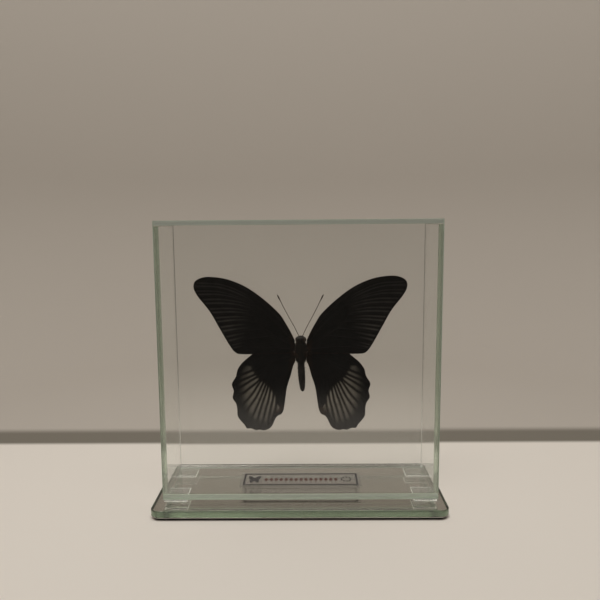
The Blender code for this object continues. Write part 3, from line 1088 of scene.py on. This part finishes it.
chitin, tree, shader, mottling = mottled_material(
    "body_chitin", 500.0, 4.0, (0.006, 0.005, 0.004), (0.022, 0.017, 0.013), Specular_IOR_Level=0.3
)
pores = noise(tree, object_coordinates(tree), 2500.0, 3.0)
rough = ramp(tree, mottling, 0.2, 0.8, 0.5, 0.8)
feed(shader, Roughness=rough, Normal=bump(tree, pores, 0.5, 0.1 * MM))
body_mesh.materials.append(chitin)

# %% Eyes
eye_material, tree, shader = start_material("eye", Roughness=0.18)
cells = add(tree, "ShaderNodeTexVoronoi", {"Vector": object_coordinates(tree), "Scale": 9000.0})
facets = cells.outputs["Distance"]
feed(
    shader,
    Base_Color=blend_color(tree, facets, (0.030, 0.014, 0.008, 1.0), (0.008, 0.005, 0.004, 1.0)),
    Normal=bump(tree, facets, 0.3, 0.05 * MM),
)
EYE_RADIUS = 1.25 * MM
EYE_FORM = (0.85, 1.0, 1.1)
EYE_PLACE = (2.0, -0.5, 84.9)
parts = []
for sign in (-1, 1):
    shape = bmesh.new()
    bmesh.ops.create_uvsphere(shape, u_segments=28, v_segments=18, radius=EYE_RADIUS)
    bmesh.ops.scale(shape, vec=EYE_FORM, verts=shape.verts)
    x, y, z = EYE_PLACE
    bmesh.ops.translate(shape, vec=in_box(sign * x, y, z), verts=shape.verts)
    mesh = mesh_from(shape, "eye")
    mesh.materials.append(eye_material)
    parts.append(bpy.data.objects.new("eye", mesh))

# %% [markdown]
# Fur is thousands of the same small hair, so it is grown by a tree: points scattered over the
# form, and a thin three-sided spike on each that stands off the skin and leans down the body.
# The form stores where the fur is thick and long.

# %% A tree that grows fur
fur_tree, given = new_tree(
    "fur", {"Density": 1.0e7, "Length": 2.0 * MM, "Thickness": 0.06 * MM, "Lean": 0.8, "Seed": 7}
)
thick_fur, long_fur = (
    add(fur_tree, "GeometryNodeInputNamedAttribute", {"Name": stored}).outputs["Attribute"]
    for stored in ("fur", "length")
)
scattered = add(
    fur_tree, "GeometryNodeDistributePointsOnFaces",
    {
        "Mesh": given["Geometry"], "Seed": given["Seed"],
        "Density": calc(fur_tree, "MULTIPLY", thick_fur, given["Density"]),
    },
    distribute_method="RANDOM",
)
hair = {
    "Vertices": 3, "Side Segments": 2, "Radius Top": 0.0,
    "Radius Bottom": given["Thickness"], "Depth": given["Length"],
}
spike = add(fur_tree, "GeometryNodeMeshCone", hair, fill_type="NONE")
wander = add(
    fur_tree, "FunctionNodeRandomValue",
    {0: (-0.5, -0.5, -0.5), 1: (0.5, 0.5, 0.5), "Seed": 3}, data_type="FLOAT_VECTOR",
).outputs[0]
down = add(fur_tree, "ShaderNodeCombineXYZ", {"Z": calc(fur_tree, "MULTIPLY", given["Lean"], -1.0)})
pointing = scattered.outputs["Normal"]
for drift in (down.outputs["Vector"], wander):
    summed = add(fur_tree, "ShaderNodeVectorMath", {0: pointing, 1: drift}, operation="ADD")
    pointing = summed.outputs["Vector"]
turned_up = add(fur_tree, "FunctionNodeAlignRotationToVector", {"Vector": pointing}, axis="Z")
varied = add(
    fur_tree, "FunctionNodeRandomValue", {2: 0.55, 3: 1.15, "Seed": 11}, data_type="FLOAT"
).outputs[1]
grown = add(
    fur_tree, "GeometryNodeInstanceOnPoints", {
        "Points": scattered.outputs["Points"], "Instance": spike.outputs["Mesh"],
        "Rotation": turned_up.outputs["Rotation"],
        "Scale": calc(fur_tree, "MULTIPLY", varied, long_fur),
    }
)
close_tree(fur_tree, grown.outputs["Instances"], given["Material"])

RUST_LEVEL = DRAWING_LEVEL + 76.5 * MM
FUR_DARK = (0.005, 0.004, 0.003, 1.0)
FUR_BROWN = (0.046, 0.029, 0.018, 1.0)
FUR_RUST = (0.070, 0.026, 0.010, 1.0)
fur_material, tree, shader = start_material("fur", Roughness=0.7, Specular_IOR_Level=0.2)
place = object_coordinates(tree)
tuft = noise(tree, place, 900.0)
color = blend_color(tree, ramp(tree, tuft, 0.35, 0.7), FUR_DARK, FUR_BROWN)
split = add(tree, "ShaderNodeSeparateXYZ", {"Vector": place})
beside = calc(tree, "ABSOLUTE", calc(tree, "SUBTRACT", split.outputs["X"], BODY_X))
away = calc(tree, "ABSOLUTE", calc(tree, "SUBTRACT", split.outputs["Z"], RUST_LEVEL))
outer = ramp(tree, beside, 1.6 * MM, 2.8 * MM)
at_side = calc(tree, "MULTIPLY", outer, ramp(tree, away, 2.6 * MM, 0.6 * MM))
rusty = calc(tree, "MULTIPLY", at_side, ramp(tree, tuft, 0.4, 0.55))
feed(shader, Base_Color=blend_color(tree, rusty, color, FUR_RUST))
fur = run_tree(
    fur_tree, body_form, "fur", Density=3.4e7, Length=1.5 * MM, Thickness=0.035 * MM,
    Lean=0.9, Seed=7, Material=fur_material,
)
print("fur faces:", len(fur.data.polygons))
bpy.context.scene.collection.objects.unlink(body_form)
body = join_meshes("body_furred", [body_form, *parts, fur])
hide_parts("body")
finish_piece(body, smooth=True)

# %% [markdown]
# ## Antennae
# Each antenna is a fine jointed thread that thickens into a club. A path with a radius that
# swells near its end gives the thread and the club in one tube.

# %% Antennae
ANTENNA_PATH = [
    (1.0, 0.0, 86.6), (3.6, -0.4, 92.2), (6.4, -0.8, 97.4), (9.2, -1.2, 102.9),
    (11.2, -1.4, 107.0), (12.8, -1.5, 110.3),
]
antenna_material = mottled_material(
    "antenna", 1200.0, 2.0, (0.020, 0.012, 0.007), (0.060, 0.036, 0.020), Roughness=0.5
)[0]


def antenna_radius(share):
    """Thin for most of the length, a spindle-shaped club at the end, in millimetres."""
    club = 0.24 * np.exp(-(((share - 0.93) / 0.055) ** 2))
    rings = 0.012 * np.abs(np.sin(share * 55 * math.pi))
    return (0.17 + club) * np.sqrt(np.clip((1.002 - share) / 0.02, 0, 1)) + rings


path = smooth_path(ANTENNA_PATH, 0.11)
antenna_radii = antenna_radius(np.linspace(0, 1, len(path)))
for side, sign in (("left", -1), ("right", 1)):
    source = link(curves_object("antenna", [[in_box(sign * x, y, z) for x, y, z in path]]))
    source.data.bevel_depth = 1.0 * MM  # times each point's own radius
    source.data.bevel_resolution = 2
    source.data.use_fill_caps = True
    for target, radius_here in zip(source.data.splines[0].points, antenna_radii):
        target.radius = radius_here
    mesh = evaluated_mesh(source)
    bpy.data.objects.remove(source)
    shape = bmesh.new()
    shape.from_mesh(mesh)
    bmesh.ops.remove_doubles(shape, verts=shape.verts, dist=0.000001)
    bmesh.ops.recalc_face_normals(shape, faces=shape.faces)
    shape.to_mesh(mesh)
    shape.free()
    mesh.materials.clear()
    mesh.materials.append(antenna_material)
    antenna = bpy.data.objects.new(f"antenna_{side}_thread", mesh)
    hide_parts(f"antenna_{side}")
    finish_piece(antenna, smooth=True)
